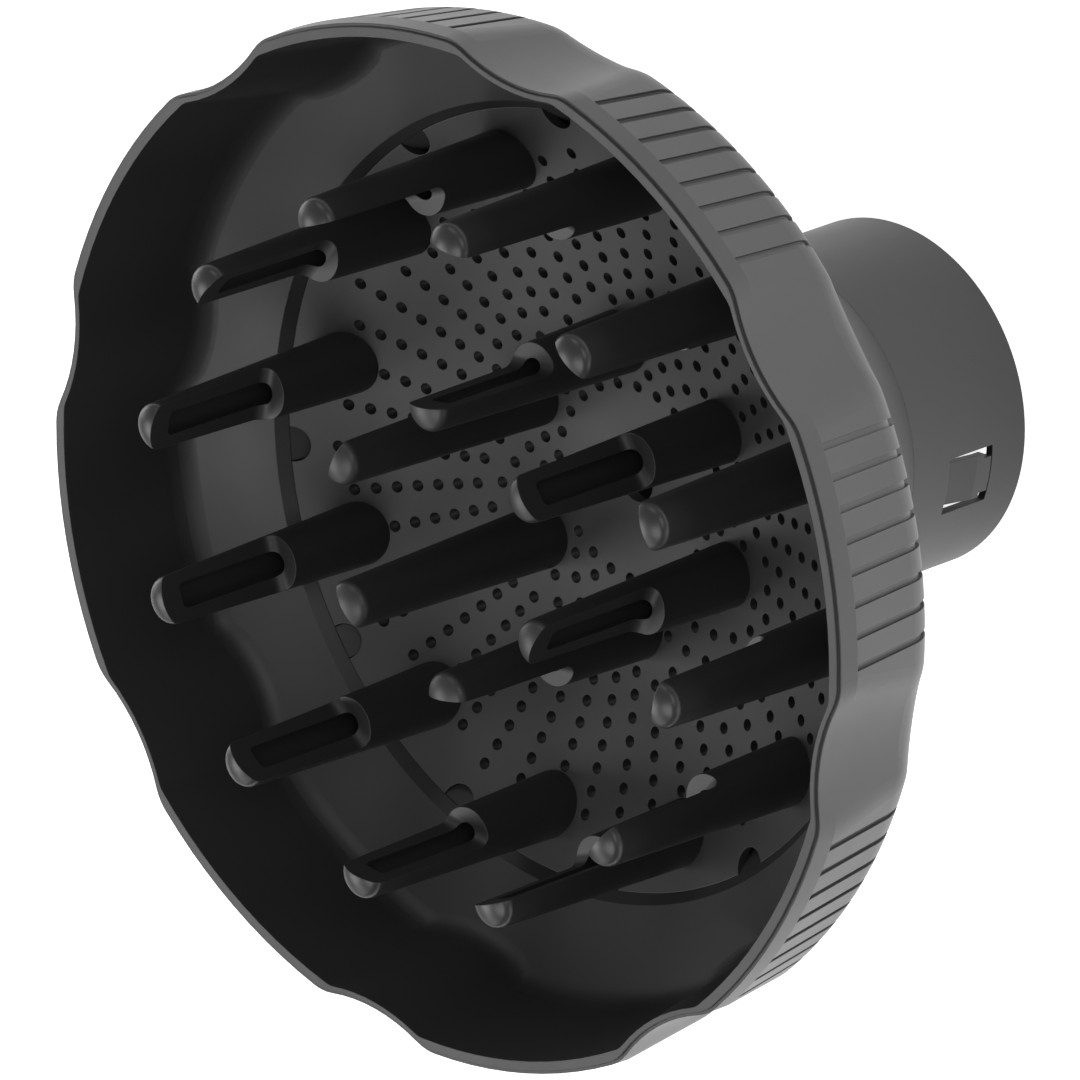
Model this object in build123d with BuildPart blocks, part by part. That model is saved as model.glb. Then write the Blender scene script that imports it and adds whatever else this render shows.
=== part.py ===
# Hair dryer diffuser: a lobed bowl with a perforated dish of hollow fingers, on a flared rear shell
# that ends in a socket for the dryer's nozzle.
# +Z runs along the airflow, from the socket's open end (z = 0) to the mouth. +X points at a lobe.
# All dimensions are in millimetres.
from build123d import *
import math
import os

# ---- driving dimensions -------------------------------------------------------------------------
MOUTH_Z = 100.4           # height of the mouth above the socket's open end
RIM_R = 80.4              # radius of the lobes at the mouth
LOBES = 8
LOBE_PITCH = 360 / LOBES

COLLAR_R = 27.4           # outside of the nozzle socket
COLLAR_H = 25.2           # height of the crease between the socket and the rear shell
SOCKET_R = 25.9           # inside of the socket's entry land
RELIEF_R = 26.2           # inside of the socket beyond the land
LAND_H = 7.0              # length of the entry land

# Dished plate that carries the fingers: a piece of a sphere, lowest on the axis
DISH_R = 152.0
DISH_BOTTOM_Z = 56.9
DISH_CENTRE_Z = DISH_BOTTOM_Z + DISH_R
PLATE_R = 60.7
PLATE_T = 2.0

# Annular floor of the bowl around the plate, concentric with the dish
FLOOR_LIFT = 1.1
FLOOR_SPHERE_R = DISH_R - FLOOR_LIFT
FLOOR_INNER_R = 62.1
FLOOR_OUTER_R = 74.4      # crease between the floor and the cove that runs up to the wall
SEAT_R = 60.75
LEDGE_R = 59.1
SKIRT_R = 62.6
SKIRT_BOTTOM_Z = 65.6
BACK_T = 2.2              # thickness of the bowl behind its floor at the skirt

# Bowl wall
WALL_FOOT_R = 75.9        # where the cove runs out into the inner wall
COVE_H = 3.6              # height of the cove above the floor's crease
RIM_INNER_R = 78.4
RIM_BAND_H = 3.8          # nearly straight band behind the mouth
RIM_BAND_R = 80.6
SHOULDER_CORNER_R = 78.3
SHOULDER_CORNER_Z = 78.1
SHOULDER_FILLET_R = 8.0
LIP_STEP_W = 0.5
LIP_STEP_H = 0.4

# Scallops between the lobes, cut by cones that stand outside the rim
SCALLOP_R = 28.8
SCALLOP_MID_R = 77.7      # distance of the scallop's middle from the axis at the mouth
SCALLOP_AXIS_R = SCALLOP_MID_R + SCALLOP_R
SCALLOP_TAPER = 2.3       # degrees, outside the wall
SCALLOP_INNER_TAPER = 8.5  # degrees, inside the wall
SCALLOP_WALL = 1.3        # thickness of the wall at the mouth
SCALLOP_BLEND_R = 8.0     # softens the edges between scallops and lobes, outside
SCALLOP_INNER_BLEND_R = 4.0  # the same inside
SCALLOP_FOOT_BLEND_R = 4.5  # between the floor and the scallops' bulges
SCALLOP_DEPTH = 32.0

# Grip grooves over the back of each lobe
GROOVES_PER_LOBE = 8
GROOVE_PITCH = 3.38       # degrees
GROOVE_W = 1.15
GROOVE_DEPTH = 0.5
GROOVE_INNER_R = 75.5     # where the grooves end on the back

# Air holes: rings of holes on a common angular grid, every second ring turned by half a step
HOLE_R = 0.88
CENTRE_HOLE_R = 3.15
HOLES_PER_RING = 24
HOLE_STEP = 360 / HOLES_PER_RING
INNER_RINGS = 6
INNER_RING_START = 15.475
INNER_RING_PITCH = 2.7235
OUTER_RINGS = 14
OUTER_RING_START = 30.825
OUTER_RING_PITCH = 1.733

# Half-round notches in the plate's edge, and the bowl's lugs that fill them
NOTCHES = 12
NOTCH_R = 2.75
NOTCH_CENTRE_R = 60.35
NOTCH_START = 22.5        # degrees
LUG_GAP = 0.15
LUG_SINK = 0.1            # how far the lugs' tops lie below the step's slope

# Fingers
OUTER_FINGERS = 12
OUTER_FINGER_R = 52.4
OUTER_FINGER_START = 7.5  # degrees
OUTER_FINGER_TIP_Z = MOUTH_Z + 8.55
INNER_FINGERS = 6
INNER_FINGER_R = 22.35
INNER_FINGER_START = 22.5
INNER_FINGER_TIP_Z = MOUTH_Z + 1.5
FINGER_TIP_R = 3.75
FINGER_ROOT_R = 5.0
FINGER_CROWN_H = 1.2      # rise of the tip's crown from its edge to its middle
FINGER_EDGE_FILLET = 1.5
FINGER_BORE_R = 2.0
FINGER_BORE_END = 3.9     # solid length at the tip
FINGER_BORE_FILLET = 1.0
FLAT_OFFSET = 0.3         # the flat cut lies this far from the finger's axis
FLAT_LENGTH = 24.4        # from the tip down to the wall that ends the cut
FLAT_FILLET = 1.8
SPIGOT_R = 3.0
HOLE_CLEARANCE = 0.05     # land left between a finger's foot and the nearest hole

# Rear shell: a flared bell between the socket and the bowl
SHELL_T = 2.0
SHELL_TOP_R = 61.4
SHELL_START_ANGLE = 34.0  # degrees between the flare and the axis at the socket

# Spring tongues cut in the socket's wall
TONGUE_ANGLES = (157.5, 337.5)
TONGUE_HALF_ANGLE = 7.75
TONGUE_NECK_HALF_ANGLE = 6.1
SLOT_HALF_ANGLE = 9.8
TONGUE_ROOT_Z = 7.4
TONGUE_SHOULDER_Z = 9.3
TONGUE_BEND_Z = 10.8
TONGUE_END_Z = 16.8
SLOT_END_Z = 17.2
TONGUE_SET = 1.0          # how far the free end stands inward
HINGE_GAP = 0.2

CUT = 5.0                 # how far cutting tools run past what they cut


def sphere_z(sphere_r, r):
    """Height of a sphere around the dish's centre, below that centre, at radius r."""
    return DISH_CENTRE_Z - math.sqrt(sphere_r ** 2 - r ** 2)


def sphere_arc(sphere_r, r_from, r_to, drop=0.0):
    """Arc of a dish-concentric sphere between two radii, in the XZ profile plane."""
    r_mid = (r_from + r_to) / 2
    points = [(r, sphere_z(sphere_r, r) - drop) for r in (r_from, r_mid, r_to)]
    return ThreePointArc(*points)


def outer_outline(inset):
    """Profile of everything inside the bowl's outer skin, moved inward by inset."""
    back_r = SHOULDER_CORNER_R - inset
    back_z = SHOULDER_CORNER_Z + inset
    skirt_r = SKIRT_R - inset
    skirt_top_z = sphere_z(FLOOR_SPHERE_R, SKIRT_R) - BACK_T + inset
    with BuildSketch(Plane.XZ) as outline:
        with BuildLine():
            Polyline(
                (0, SKIRT_BOTTOM_Z),
                (skirt_r, SKIRT_BOTTOM_Z),
                (skirt_r, skirt_top_z),
                (back_r, back_z),
                (RIM_BAND_R - inset, MOUTH_Z - RIM_BAND_H),
                (RIM_R - inset, MOUTH_Z),
                (0, MOUTH_Z),
                close=True,
            )
        make_face()
        shoulder = outline.vertices().sort_by_distance((back_r, back_z))[0]
        fillet(shoulder, SHOULDER_FILLET_R - inset)
    return outline.sketch


def scallops(radius, taper):
    """Eight cones between the lobes, with the given radius at the mouth, wider further back."""
    growth = math.tan(math.radians(taper))
    with BuildPart() as cones:
        with Locations((0, 0, MOUTH_Z + CUT)):
            with PolarLocations(SCALLOP_AXIS_R, LOBES, start_angle=LOBE_PITCH / 2):
                Cone(
                    radius + growth * SCALLOP_DEPTH,
                    radius - growth * CUT,
                    SCALLOP_DEPTH + CUT,
                    align=(Align.CENTER, Align.CENTER, Align.MAX),
                )
    return cones.part


def bowl_cavity():
    """Space inside the bowl: the mouth, the annular floor, the plate's seat and its ledge."""
    crease_z = sphere_z(FLOOR_SPHERE_R, FLOOR_OUTER_R)
    foot_z = crease_z + COVE_H
    slope = (RIM_INNER_R - WALL_FOOT_R) / (MOUTH_Z - foot_z)
    with BuildPart() as cavity:
        with BuildSketch(Plane.XZ):
            with BuildLine():
                wall = Polyline(
                    (0, MOUTH_Z + CUT),
                    (RIM_INNER_R + slope * CUT, MOUTH_Z + CUT),
                    (WALL_FOOT_R, foot_z),
                )
                cove = TangentArc(wall @ 1, (FLOOR_OUTER_R, crease_z), tangent=wall % 1)
                floor = sphere_arc(FLOOR_SPHERE_R, FLOOR_OUTER_R, FLOOR_INNER_R)
                seat = Polyline(
                    floor @ 1,
                    (SEAT_R, sphere_z(DISH_R, SEAT_R)),
                    (SEAT_R, sphere_z(DISH_R, SEAT_R) - PLATE_T),
                )
                ledge = sphere_arc(DISH_R, SEAT_R, LEDGE_R, drop=PLATE_T)
                Polyline(
                    ledge @ 1,
                    (LEDGE_R, SKIRT_BOTTOM_Z - CUT),
                    (0, SKIRT_BOTTOM_Z - CUT),
                    wall @ 0,
                )
            make_face()
        revolve(axis=Axis.Z)
        add(scallops(SCALLOP_R + SCALLOP_WALL, SCALLOP_INNER_TAPER), mode=Mode.SUBTRACT)
        edges = cavity.edges().filter_by(GeomType.BSPLINE)
        fillet(edges.filter_by_position(Axis.Z, foot_z, MOUTH_Z + CUT), SCALLOP_INNER_BLEND_R)
        lowest_edges = cavity.edges().filter_by(GeomType.BSPLINE).sort_by(Axis.Z)[:LOBES]
        fillet(lowest_edges, SCALLOP_FOOT_BLEND_R)
    return cavity.part


def plate_lugs():
    """Lugs that fill the plate's notches. Their tops carry the step's slope on to the skirt's foot."""
    step_z = sphere_z(FLOOR_SPHERE_R, FLOOR_INNER_R)
    seat_z = sphere_z(DISH_R, SEAT_R)
    slope = (step_z - seat_z) / (FLOOR_INNER_R - SEAT_R)
    toe_r = SEAT_R - (seat_z - LUG_SINK - SKIRT_BOTTOM_Z) / slope
    with BuildPart() as lugs:
        with BuildSketch(Plane.XY.offset(SKIRT_BOTTOM_Z)):
            with PolarLocations(NOTCH_CENTRE_R, NOTCHES, start_angle=NOTCH_START):
                Circle(NOTCH_R - LUG_GAP)
        extrude(amount=MOUTH_Z - SKIRT_BOTTOM_Z)
        with BuildSketch(Plane.XZ):
            with BuildLine():
                Polyline(
                    (toe_r, SKIRT_BOTTOM_Z),
                    (FLOOR_INNER_R, SKIRT_BOTTOM_Z),
                    (FLOOR_INNER_R, step_z - LUG_SINK),
                    close=True,
                )
            make_face()
        revolve(axis=Axis.Z, mode=Mode.INTERSECT)
    return lugs.part


def groove_cutters():
    """Shallow bars along the back of each lobe that follow the skin over the shoulder."""
    half_field = (GROOVES_PER_LOBE - 1) / 2
    bar_length = RIM_R + CUT - GROOVE_INNER_R
    with BuildPart() as cutters:
        for lobe in range(LOBES):
            for groove in range(GROOVES_PER_LOBE):
                angle = lobe * LOBE_PITCH + (groove - half_field) * GROOVE_PITCH
                with BuildSketch(Plane.XY.offset(MOUTH_Z - RIM_BAND_H)):
                    with PolarLocations(GROOVE_INNER_R + bar_length / 2, 1, start_angle=angle):
                        Rectangle(bar_length, GROOVE_W)
                extrude(amount=-SCALLOP_DEPTH)
        with BuildSketch(Plane.XZ):
            add(outer_outline(-GROOVE_DEPTH))
            add(outer_outline(GROOVE_DEPTH), mode=Mode.SUBTRACT)
        revolve(axis=Axis.Z, mode=Mode.INTERSECT)
    return cutters.part


def lip_core():
    """Outline of the mouth that stands proud of the step around the lip."""
    with BuildSketch(Plane.XY.offset(MOUTH_Z)) as core:
        with PolarLocations(0, 1, start_angle=LOBE_PITCH / 2):
            Circle(RIM_R - LIP_STEP_W)
        with PolarLocations(SCALLOP_AXIS_R, LOBES, start_angle=LOBE_PITCH / 2):
            Circle(SCALLOP_R + LIP_STEP_W, mode=Mode.SUBTRACT)
        fillet(core.vertices(), SCALLOP_BLEND_R - LIP_STEP_W)
    return core.sketch


def make_bowl():
    with BuildPart() as bowl:
        with BuildSketch(Plane.XZ):
            add(outer_outline(0))
        revolve(axis=Axis.Z)
        add(scallops(SCALLOP_R, SCALLOP_TAPER), mode=Mode.SUBTRACT)
        fillet(bowl.edges().filter_by(GeomType.BSPLINE), SCALLOP_BLEND_R)
        add(bowl_cavity(), mode=Mode.SUBTRACT)
        add(plate_lugs())
        add(groove_cutters(), mode=Mode.SUBTRACT)
        with BuildSketch(Plane.XY.offset(MOUTH_Z)):
            Circle(RIM_R + CUT)
            add(lip_core(), mode=Mode.SUBTRACT)
        extrude(amount=-LIP_STEP_H, mode=Mode.SUBTRACT)
    return bowl.part


def finger_feet():
    """Centre of every finger's foot in plan."""
    feet = []
    for count, radius, start in (
        (OUTER_FINGERS, OUTER_FINGER_R, OUTER_FINGER_START),
        (INNER_FINGERS, INNER_FINGER_R, INNER_FINGER_START),
    ):
        for index in range(count):
            angle = math.radians(start + index * 360 / count)
            feet.append((radius * math.cos(angle), radius * math.sin(angle)))
    return feet


def air_hole_centres():
    """Centres of the air holes in plan, leaving out those a finger stands on."""
    radii = [INNER_RING_START + INNER_RING_PITCH * ring for ring in range(INNER_RINGS)]
    radii += [OUTER_RING_START + OUTER_RING_PITCH * ring for ring in range(OUTER_RINGS)]
    keep_off = FINGER_ROOT_R + HOLE_R + HOLE_CLEARANCE
    centres = []
    for ring, radius in enumerate(radii):
        for index in range(HOLES_PER_RING):
            angle = math.radians((index + (ring % 2) / 2) * HOLE_STEP)
            centre = (radius * math.cos(angle), radius * math.sin(angle))
            if all(math.dist(centre, foot) > keep_off for foot in finger_feet()):
                centres.append(centre)
    return centres


def make_finger_plate():
    with BuildPart() as plate:
        with BuildSketch(Plane.XZ):
            with BuildLine():
                front = sphere_arc(DISH_R, 0, PLATE_R)
                back = sphere_arc(DISH_R, 0, PLATE_R, drop=PLATE_T)
                Line(front @ 0, back @ 0)
                Line(front @ 1, back @ 1)
            make_face()
        revolve(axis=Axis.Z)
        with BuildSketch(Plane.XY.offset(DISH_BOTTOM_Z - CUT)):
            with Locations(*air_hole_centres()):
                Circle(HOLE_R)
            with Locations(*finger_feet()):
                Circle(SPIGOT_R)
            with PolarLocations(NOTCH_CENTRE_R, NOTCHES, start_angle=NOTCH_START):
                Circle(NOTCH_R)
            Circle(CENTRE_HOLE_R)
        extrude(amount=MOUTH_Z - DISH_BOTTOM_Z, mode=Mode.SUBTRACT)
    return plate.part


def make_finger(foot_r, tip_z, slot_side):
    """One finger on the +X side. slot_side is -1 for a slot that faces the axis, 1 for the other."""
    foot_z = sphere_z(DISH_R, foot_r)
    length = tip_z - foot_z
    # Side view of the finger: x across it towards the slot, y along it
    side = Plane(origin=(foot_r, 0, foot_z), x_dir=(slot_side, 0, 0), z_dir=(0, -slot_side, 0))
    axis = Axis((foot_r, 0, foot_z), (0, 0, 1))
    flat_end = length - FLAT_LENGTH
    with BuildPart() as finger:
        with BuildSketch(side) as outline:
            with BuildLine():
                flank = Polyline(
                    (0, length),
                    (0, -CUT),
                    (FINGER_ROOT_R, -CUT),
                    (FINGER_ROOT_R, 0),
                    (FINGER_TIP_R, length - FINGER_CROWN_H),
                )
                TangentArc(flank @ 0, flank @ 1, tangent=(1, 0))
            make_face()
            edge = outline.vertices().sort_by_distance((FINGER_TIP_R, length - FINGER_CROWN_H))[0]
            fillet(edge, FINGER_EDGE_FILLET)
        revolve(axis=axis)
        with Locations((0, 0, DISH_CENTRE_Z)):
            Sphere(DISH_R, mode=Mode.INTERSECT)
        add(make_spigot(foot_r))
        with BuildSketch(side) as flat:
            with BuildLine():
                Polyline(
                    (FLAT_OFFSET, length + CUT),
                    (FLAT_OFFSET, flat_end),
                    (FINGER_ROOT_R + CUT, flat_end),
                    (FINGER_ROOT_R + CUT, length + CUT),
                    close=True,
                )
            make_face()
            corner = flat.vertices().sort_by_distance((FLAT_OFFSET, flat_end))[0]
            fillet(corner, FLAT_FILLET)
        extrude(amount=FINGER_ROOT_R + CUT, both=True, mode=Mode.SUBTRACT)
        with BuildSketch(side) as bore:
            with BuildLine():
                Polyline(
                    (0, -2 * CUT),
                    (FINGER_BORE_R, -2 * CUT),
                    (FINGER_BORE_R, length - FINGER_BORE_END),
                    (0, length - FINGER_BORE_END),
                    close=True,
                )
            make_face()
            corner = bore.vertices().sort_by_distance((FINGER_BORE_R, length - FINGER_BORE_END))[0]
            fillet(corner, FINGER_BORE_FILLET)
        revolve(axis=axis, mode=Mode.SUBTRACT)
    return finger.part


def make_spigot(foot_r):
    """Short plug through the plate, flush with the plate's back."""
    with BuildPart() as spigot:
        with Locations((foot_r, 0, DISH_BOTTOM_Z - CUT)):
            Cylinder(
                SPIGOT_R,
                sphere_z(DISH_R, foot_r) - DISH_BOTTOM_Z + 2 * CUT,
                align=(Align.CENTER, Align.CENTER, Align.MIN),
            )
        with Locations((0, 0, DISH_CENTRE_Z - PLATE_T)):
            Sphere(DISH_R, mode=Mode.INTERSECT)
    return spigot.part


def make_rear_shell():
    slant = math.radians(SHELL_START_ANGLE)
    start_dir = (math.sin(slant), math.cos(slant))
    wall_x = SHELL_T / math.cos(slant)
    with BuildPart() as shell:
        with BuildSketch(Plane.XZ):
            with BuildLine():
                outside = TangentArc(
                    (COLLAR_R, COLLAR_H),
                    (SHELL_TOP_R, SKIRT_BOTTOM_Z),
                    tangent=start_dir,
                )
                inside = TangentArc(
                    (COLLAR_R - wall_x, COLLAR_H),
                    (LEDGE_R, SKIRT_BOTTOM_Z),
                    tangent=start_dir,
                )
                Line(outside @ 0, inside @ 0)
                Line(outside @ 1, inside @ 1)
            make_face()
        revolve(axis=Axis.Z)
    return shell.part


def wall_sector(half_angle, section_points):
    """Sector of the socket's wall about +X: a section in the XZ plane turned either way."""
    with BuildPart() as sector:
        with BuildSketch(Plane.XZ.rotated((0, 0, -half_angle))):
            with BuildLine():
                Polyline(*section_points, close=True)
            make_face()
        revolve(axis=Axis.Z, revolution_arc=2 * half_angle)
    return sector.part


def slot_cutter():
    """Clearance around one tongue, right through the socket's wall."""
    inner = SOCKET_R - CUT
    outer = COLLAR_R + CUT
    return wall_sector(SLOT_HALF_ANGLE, [
        (inner, TONGUE_ROOT_Z),
        (outer, TONGUE_ROOT_Z),
        (outer, SLOT_END_Z),
        (inner, SLOT_END_Z),
    ])


def make_collar():
    with BuildPart() as collar:
        with BuildSketch(Plane.XZ):
            with BuildLine():
                Polyline(
                    (SOCKET_R, 0),
                    (COLLAR_R, 0),
                    (COLLAR_R, COLLAR_H),
                    (RELIEF_R, COLLAR_H),
                    (RELIEF_R, LAND_H),
                    (SOCKET_R, LAND_H),
                    close=True,
                )
            make_face()
        revolve(axis=Axis.Z)
        for angle in TONGUE_ANGLES:
            add(slot_cutter().rotate(Axis.Z, angle), mode=Mode.SUBTRACT)
    return collar.part


def make_tongue():
    """Spring tongue about +X: a neck, a shoulder and a leaf that leans inward."""
    root_z = TONGUE_ROOT_Z + HINGE_GAP
    neck = wall_sector(TONGUE_NECK_HALF_ANGLE, [
        (RELIEF_R, root_z),
        (COLLAR_R, root_z),
        (COLLAR_R, TONGUE_SHOULDER_Z),
        (RELIEF_R, TONGUE_SHOULDER_Z),
    ])
    leaf = wall_sector(TONGUE_HALF_ANGLE, [
        (RELIEF_R, TONGUE_SHOULDER_Z),
        (COLLAR_R, TONGUE_SHOULDER_Z),
        (COLLAR_R, TONGUE_BEND_Z),
        (COLLAR_R - TONGUE_SET, TONGUE_END_Z),
        (RELIEF_R - TONGUE_SET, TONGUE_END_Z),
        (RELIEF_R, TONGUE_BEND_Z),
    ])
    with BuildPart() as tongue:
        add(neck)
        add(leaf)
    return tongue.part


def save(shape, name):
    shape.label = name
    export_step(shape, f"parts/{name}.step")


def save_ring(shape, name, angles):
    """Save a copy of the shape at each angle about the axis, numbered from 1."""
    for number, angle in enumerate(angles, start=1):
        save(shape.rotate(Axis.Z, angle), f"{name}_{number:02d}")


os.makedirs("parts", exist_ok=True)
save(make_bowl(), "bowl")
save(make_finger_plate(), "finger_plate")
save(make_rear_shell(), "rear_shell")
save(make_collar(), "collar")
save_ring(
    make_finger(OUTER_FINGER_R, OUTER_FINGER_TIP_Z, slot_side=-1),
    "finger_outer",
    [OUTER_FINGER_START + index * 360 / OUTER_FINGERS for index in range(OUTER_FINGERS)],
)
save_ring(
    make_finger(INNER_FINGER_R, INNER_FINGER_TIP_Z, slot_side=1),
    "finger_inner",
    [INNER_FINGER_START + index * 360 / INNER_FINGERS for index in range(INNER_FINGERS)],
)
save_ring(make_tongue(), "tongue", TONGUE_ANGLES)
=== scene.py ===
import math

import bpy
from mathutils import Euler, Matrix, Vector


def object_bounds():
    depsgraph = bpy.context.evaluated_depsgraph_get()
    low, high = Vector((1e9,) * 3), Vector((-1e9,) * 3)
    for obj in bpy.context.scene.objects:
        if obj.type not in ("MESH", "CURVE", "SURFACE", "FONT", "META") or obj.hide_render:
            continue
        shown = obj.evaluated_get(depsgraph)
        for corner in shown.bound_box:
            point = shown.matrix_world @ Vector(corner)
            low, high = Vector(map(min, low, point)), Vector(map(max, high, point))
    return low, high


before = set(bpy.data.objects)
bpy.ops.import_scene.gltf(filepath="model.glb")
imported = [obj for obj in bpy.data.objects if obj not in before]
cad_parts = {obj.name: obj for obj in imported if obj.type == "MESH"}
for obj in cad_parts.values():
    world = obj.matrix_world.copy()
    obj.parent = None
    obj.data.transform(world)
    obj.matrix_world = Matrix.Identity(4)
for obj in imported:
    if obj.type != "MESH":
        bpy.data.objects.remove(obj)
cad_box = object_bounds()

MM = 0.001

# ---- camera -------------------------------------------------------------------------------------
# The view looks down into the mouth and is rolled so that the mouth faces left.
CAMERA_AIM = Vector((0.868, -3.250, 79.918)) * MM
CAMERA_DISTANCE = 2.27356
CAMERA_AZIMUTH = 14.9571     # degrees
CAMERA_ELEVATION = 43.3307
CAMERA_ROLL = -109.5848
CAMERA_LENS = 507.576        # millimetres, long so that the object hardly narrows with distance
SENSOR_WIDTH = 36.0          # millimetres
CAMERA_CLIP = (0.1, 20.0)

# ---- stage --------------------------------------------------------------------------------------
FLOOR_SIZE = 30.0
FLOOR_GAP = 0.05 * MM
# The table's own glow, from its dim side to its bright one. It keeps the table white behind so dark
# an object and shades the outside of the bowl from one side to the other.
FLOOR_GLOW = (0.8, 1.5)
FLOOR_BRIGHT_SIDE = (0.9, -0.45, 0)
FLOOR_GLOW_REACH = 120 * MM
FLOOR_GREY = 0.9
FLOOR_ROUGHNESS = 0.9
WORLD_STRENGTH = 0.25
WHITE = (1.0, 1.0, 1.0, 1.0)
LIGHT_DISTANCE = 1.5
LIGHT_SIZE = 0.8
LIGHT_AIM = Vector((0, 0, 55 * MM))
# name: (towards the camera's right, up and back, watts)
LIGHTS = {
    "front": ((0, 0, 1), 3.4),
    "above": ((0, 0.82, 0.57), 0.5),
    "high_left": ((-0.58, 0.58, 0.57), 2.4),
    "low_left": ((-0.58, -0.58, 0.57), 5.5),
    "low_right": ((0.58, -0.58, 0.57), 1.9),
    "side_left": ((-0.94, -0.33, -0.06), 6.4),
    "side_low_left": ((-0.70, -0.70, -0.17), 2.4),
    "behind_left": ((-0.80, 0.30, -0.50), 4.5),
}

# ---- materials ----------------------------------------------------------------------------------
MICRON = 0.001 * MM
EDGE_R = 0.2 * MM         # softening that the moulds leave on every edge
EDGE_SAMPLES = 6
EDGE_LIGHTENING_AGREEMENT = 0.8    # cosine between softened and real normal where an edge is drawn fully lighter
FACE_BLUE = 1.03          # blue of the faces over their grey
EDGE_BLUE = 1.02
GRAIN_SIZE = 0.22 * MM
GRAIN_NOISE = {"Detail": 2.0, "Roughness": 0.6}
FLOW_SIZE = 18 * MM       # slow changes of sheen along a moulding
FLOW_NOISE = {"Detail": 3.0, "Roughness": 0.55}
FLOW_SPAN = (0.3, 0.7)    # the part of the noise's range that spans the range of roughness
TOP_Z = cad_box[1][2]
TIP_POLISH_Z = (TOP_Z - 9.95 * MM, TOP_Z - 2.95 * MM)  # where the tips start and end turning smooth
TIP_ROUGHNESS = 0.34


def camera_turn():
    """Rotation of the camera. Its columns are the camera's right, up and back."""
    level = Euler((math.radians(90 - CAMERA_ELEVATION), 0, math.radians(90 + CAMERA_AZIMUTH)))
    return level.to_matrix() @ Matrix.Rotation(math.radians(CAMERA_ROLL), 3, "Z")


def make_camera():
    data = bpy.data.cameras.new("camera")
    data.lens = CAMERA_LENS
    data.sensor_width = SENSOR_WIDTH
    data.clip_start, data.clip_end = CAMERA_CLIP
    camera = bpy.data.objects.new("camera", data)
    bpy.context.scene.collection.objects.link(camera)
    turn = camera_turn()
    place = CAMERA_AIM + CAMERA_DISTANCE * turn.col[2]
    camera.matrix_world = Matrix.Translation(place) @ turn.to_4x4()
    bpy.context.scene.camera = camera


def make_world():
    world = bpy.data.worlds.new("studio")
    world.use_nodes = True
    background = world.node_tree.nodes["Background"]
    background.inputs["Color"].default_value = WHITE
    background.inputs["Strength"].default_value = WORLD_STRENGTH
    bpy.context.scene.world = world


def make_light(name, direction, watts):
    """Round soft box facing the object, in a direction given along the camera's axes."""
    data = bpy.data.lights.new(name, "AREA")
    data.shape = "DISK"
    data.size = LIGHT_SIZE
    data.energy = watts
    light = bpy.data.objects.new(name, data)
    bpy.context.scene.collection.objects.link(light)
    towards = (camera_turn() @ Vector(direction)).normalized()
    turn = towards.to_track_quat("Z", "Y").to_matrix().to_4x4()
    light.matrix_world = Matrix.Translation(LIGHT_AIM + LIGHT_DISTANCE * towards) @ turn


def add_node(tree, kind, settings=None, **inputs):
    """New node with its settings and unlinked inputs. A name's underscores stand for spaces."""
    node = tree.nodes.new("ShaderNode" + kind)
    for name, value in (settings or {}).items():
        setattr(node, name, value)
    for name, value in inputs.items():
        node.inputs[name.replace("_", " ")].default_value = value
    return node


def map_range(tree, source, from_range, to_range):
    """Socket with the source moved from one range to another, held at the ends."""
    node = add_node(
        tree, "MapRange",
        From_Min=from_range[0], From_Max=from_range[1], To_Min=to_range[0], To_Max=to_range[1],
    )
    tree.links.new(source, node.inputs["Value"])
    return node.outputs["Result"]


def make_floor_glow(tree, socket):
    """Glow that rises from under the object's axis towards its bright side."""
    place = add_node(tree, "TexCoord").outputs["Object"]
    along = add_node(tree, "VectorMath", {"operation": "DOT_PRODUCT"})
    along.inputs[1].default_value = FLOOR_BRIGHT_SIDE
    tree.links.new(place, along.inputs[0])
    glow = map_range(tree, along.outputs["Value"], (0, FLOOR_GLOW_REACH), FLOOR_GLOW)
    tree.links.new(glow, socket)


def make_floor():
    """White table that the object stands on."""
    mesh = bpy.data.meshes.new("floor")
    half = FLOOR_SIZE / 2
    corners = [(-half, -half, 0), (half, -half, 0), (half, half, 0), (-half, half, 0)]
    mesh.from_pydata(corners, [], [(0, 1, 2, 3)])
    floor = bpy.data.objects.new("floor", mesh)
    floor.location.z = -FLOOR_GAP
    bpy.context.scene.collection.objects.link(floor)
    material = bpy.data.materials.new("floor_paper")
    material.use_nodes = True
    shader = material.node_tree.nodes["Principled BSDF"]
    shader.inputs["Base Color"].default_value = (FLOOR_GREY, FLOOR_GREY, FLOOR_GREY, 1.0)
    shader.inputs["Roughness"].default_value = FLOOR_ROUGHNESS
    shader.inputs["Emission Color"].default_value = WHITE
    make_floor_glow(material.node_tree, shader.inputs["Emission Strength"])
    mesh.materials.append(material)


def add_surface(tree, place, grain):
    """Sockets of the normal with spark-eroded grain and of the normal with edges softened only."""
    link = tree.links.new
    noise = add_node(tree, "TexNoise", Scale=1 / GRAIN_SIZE, **GRAIN_NOISE)
    soft_edge = add_node(tree, "Bevel", {"samples": EDGE_SAMPLES}, Radius=EDGE_R)
    bump = add_node(tree, "Bump", Strength=1.0, Distance=grain)
    link(place, noise.inputs["Vector"])
    link(noise.outputs["Fac"], bump.inputs["Height"])
    link(soft_edge.outputs["Normal"], bump.inputs["Normal"])
    return bump.outputs["Normal"], soft_edge.outputs["Normal"]


def add_sheen(tree, place, rough):
    """Socket of the roughness, which drifts slowly through its range."""
    noise = add_node(tree, "TexNoise", Scale=1 / FLOW_SIZE, **FLOW_NOISE)
    tree.links.new(place, noise.inputs["Vector"])
    return map_range(tree, noise.outputs["Fac"], FLOW_SPAN, rough)


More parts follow.
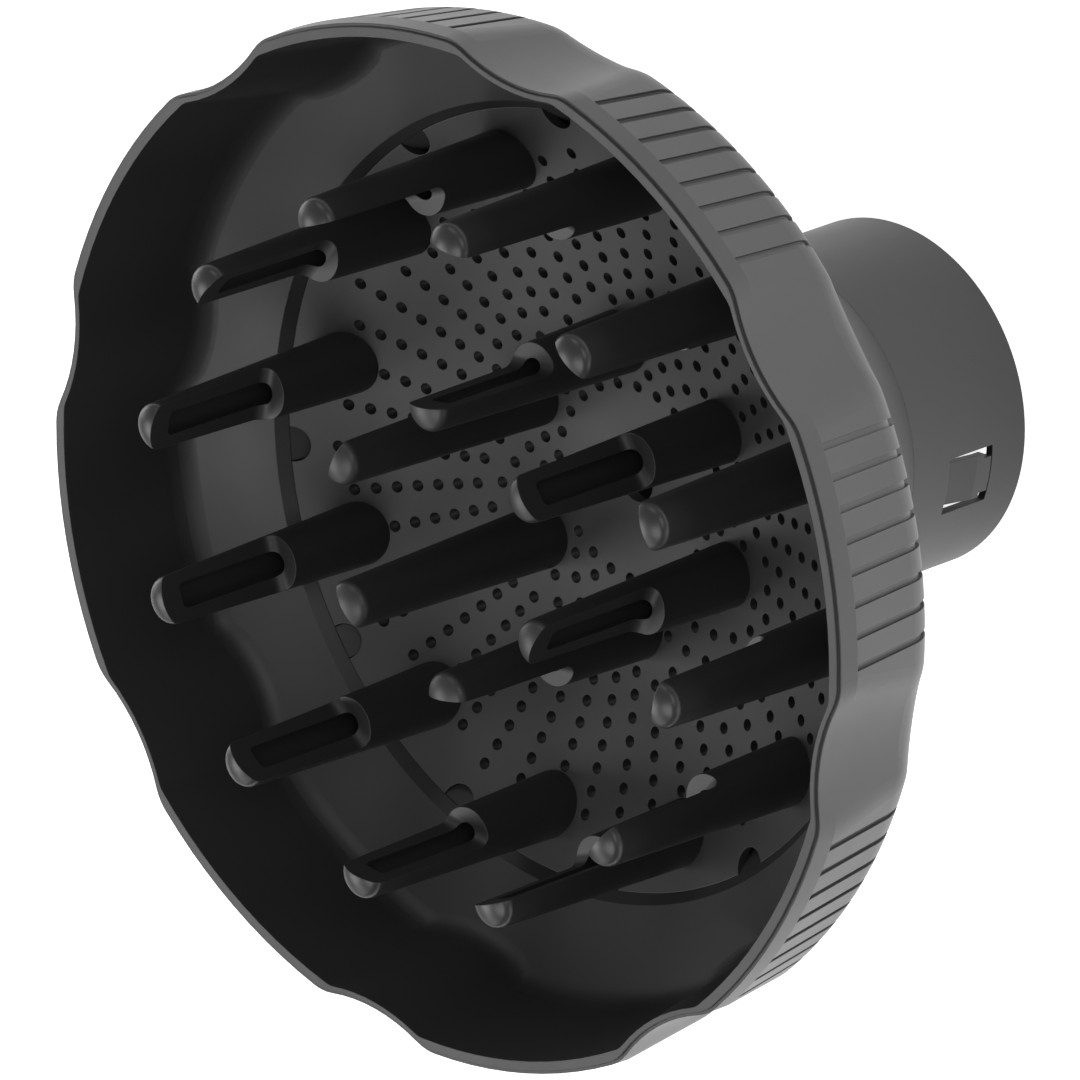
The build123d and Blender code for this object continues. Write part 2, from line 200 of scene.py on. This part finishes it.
def add_smooth_tips(tree, place, sheen):
    """Socket of the roughness with the finger tips made smoother."""
    heights = add_node(tree, "SeparateXYZ")
    blend = add_node(tree, "Mix", {"data_type": "FLOAT"}, B=TIP_ROUGHNESS)
    tree.links.new(place, heights.inputs["Vector"])
    polish = map_range(tree, heights.outputs["Z"], TIP_POLISH_Z, (0.0, 1.0))
    tree.links.new(polish, blend.inputs["Factor"])
    tree.links.new(sheen, blend.inputs["A"])
    return blend.outputs["Result"]


def add_greys(tree, soft_normal, face_grey, edge_grey):
    """Socket of the colour. An edge is drawn a lighter grey where the softened normal leaves the
    face's own.
    """
    link = tree.links.new
    face = add_node(tree, "NewGeometry")
    agreement = add_node(tree, "VectorMath", {"operation": "DOT_PRODUCT"})
    link(soft_normal, agreement.inputs[0])
    link(face.outputs["Normal"], agreement.inputs[1])
    # The edges are drawn a lighter grey than the faces, growing with how far the softened normal
    # turns from the face's own.
    lighter_edge = map_range(tree, agreement.outputs["Value"], (1.0, EDGE_LIGHTENING_AGREEMENT), (0.0, 1.0))
    greys = add_node(tree, "ValToRGB")
    greys.color_ramp.elements[0].color = (face_grey, face_grey, face_grey * FACE_BLUE, 1.0)
    greys.color_ramp.elements[1].color = (edge_grey, edge_grey, edge_grey * EDGE_BLUE, 1.0)
    link(lighter_edge, greys.inputs["Fac"])
    return greys.outputs["Color"]


def plastic(name, face_grey, edge_grey, rough, grain, smooth_tips=False):
    """Moulded plastic: fine grain, slow changes of sheen, softened edges drawn a slightly lighter
    grey.

    rough is the range of its roughness and grain the depth of its grain.
    """
    material = bpy.data.materials.new(name)
    material.use_nodes = True
    tree = material.node_tree
    shader = tree.nodes["Principled BSDF"]
    place = add_node(tree, "TexCoord").outputs["Object"]
    normal, soft_normal = add_surface(tree, place, grain)
    sheen = add_sheen(tree, place, rough)
    if smooth_tips:
        sheen = add_smooth_tips(tree, place, sheen)
    tree.links.new(normal, shader.inputs["Normal"])
    tree.links.new(sheen, shader.inputs["Roughness"])
    tree.links.new(add_greys(tree, soft_normal, face_grey, edge_grey), shader.inputs["Base Color"])
    return material


def satin_shell():
    return plastic("satin_shell", 0.026, 0.05, rough=(0.42, 0.48), grain=6 * MICRON)


def matte_plate_painted_light():
    # Painted light: the plate's greys are lighter than those of the shell and fingers, standing in
    # for more light falling on the plate; its higher roughness is its own.
    return plastic("matte_plate_painted_light", 0.036, 0.055, rough=(0.46, 0.52), grain=8 * MICRON)


def satin_finger():
    return plastic(
        "satin_finger", 0.024, 0.05, rough=(0.42, 0.48), grain=4 * MICRON, smooth_tips=True
    )


def dress(nodes, material):
    for node in nodes:
        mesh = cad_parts[node].data
        mesh.materials.clear()
        mesh.materials.append(material)
        mesh.shade_smooth()


make_camera()
make_world()
make_floor()
for light_name, (light_direction, light_watts) in LIGHTS.items():
    make_light(light_name, light_direction, light_watts)

plate = ["finger_plate"]
fingers = [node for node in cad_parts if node.startswith("finger_") and node not in plate]
shell = [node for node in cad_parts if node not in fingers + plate]
dress(shell, satin_shell())
dress(plate, matte_plate_painted_light())
dress(fingers, satin_finger())

bpy.context.scene.view_settings.view_transform = "Standard"
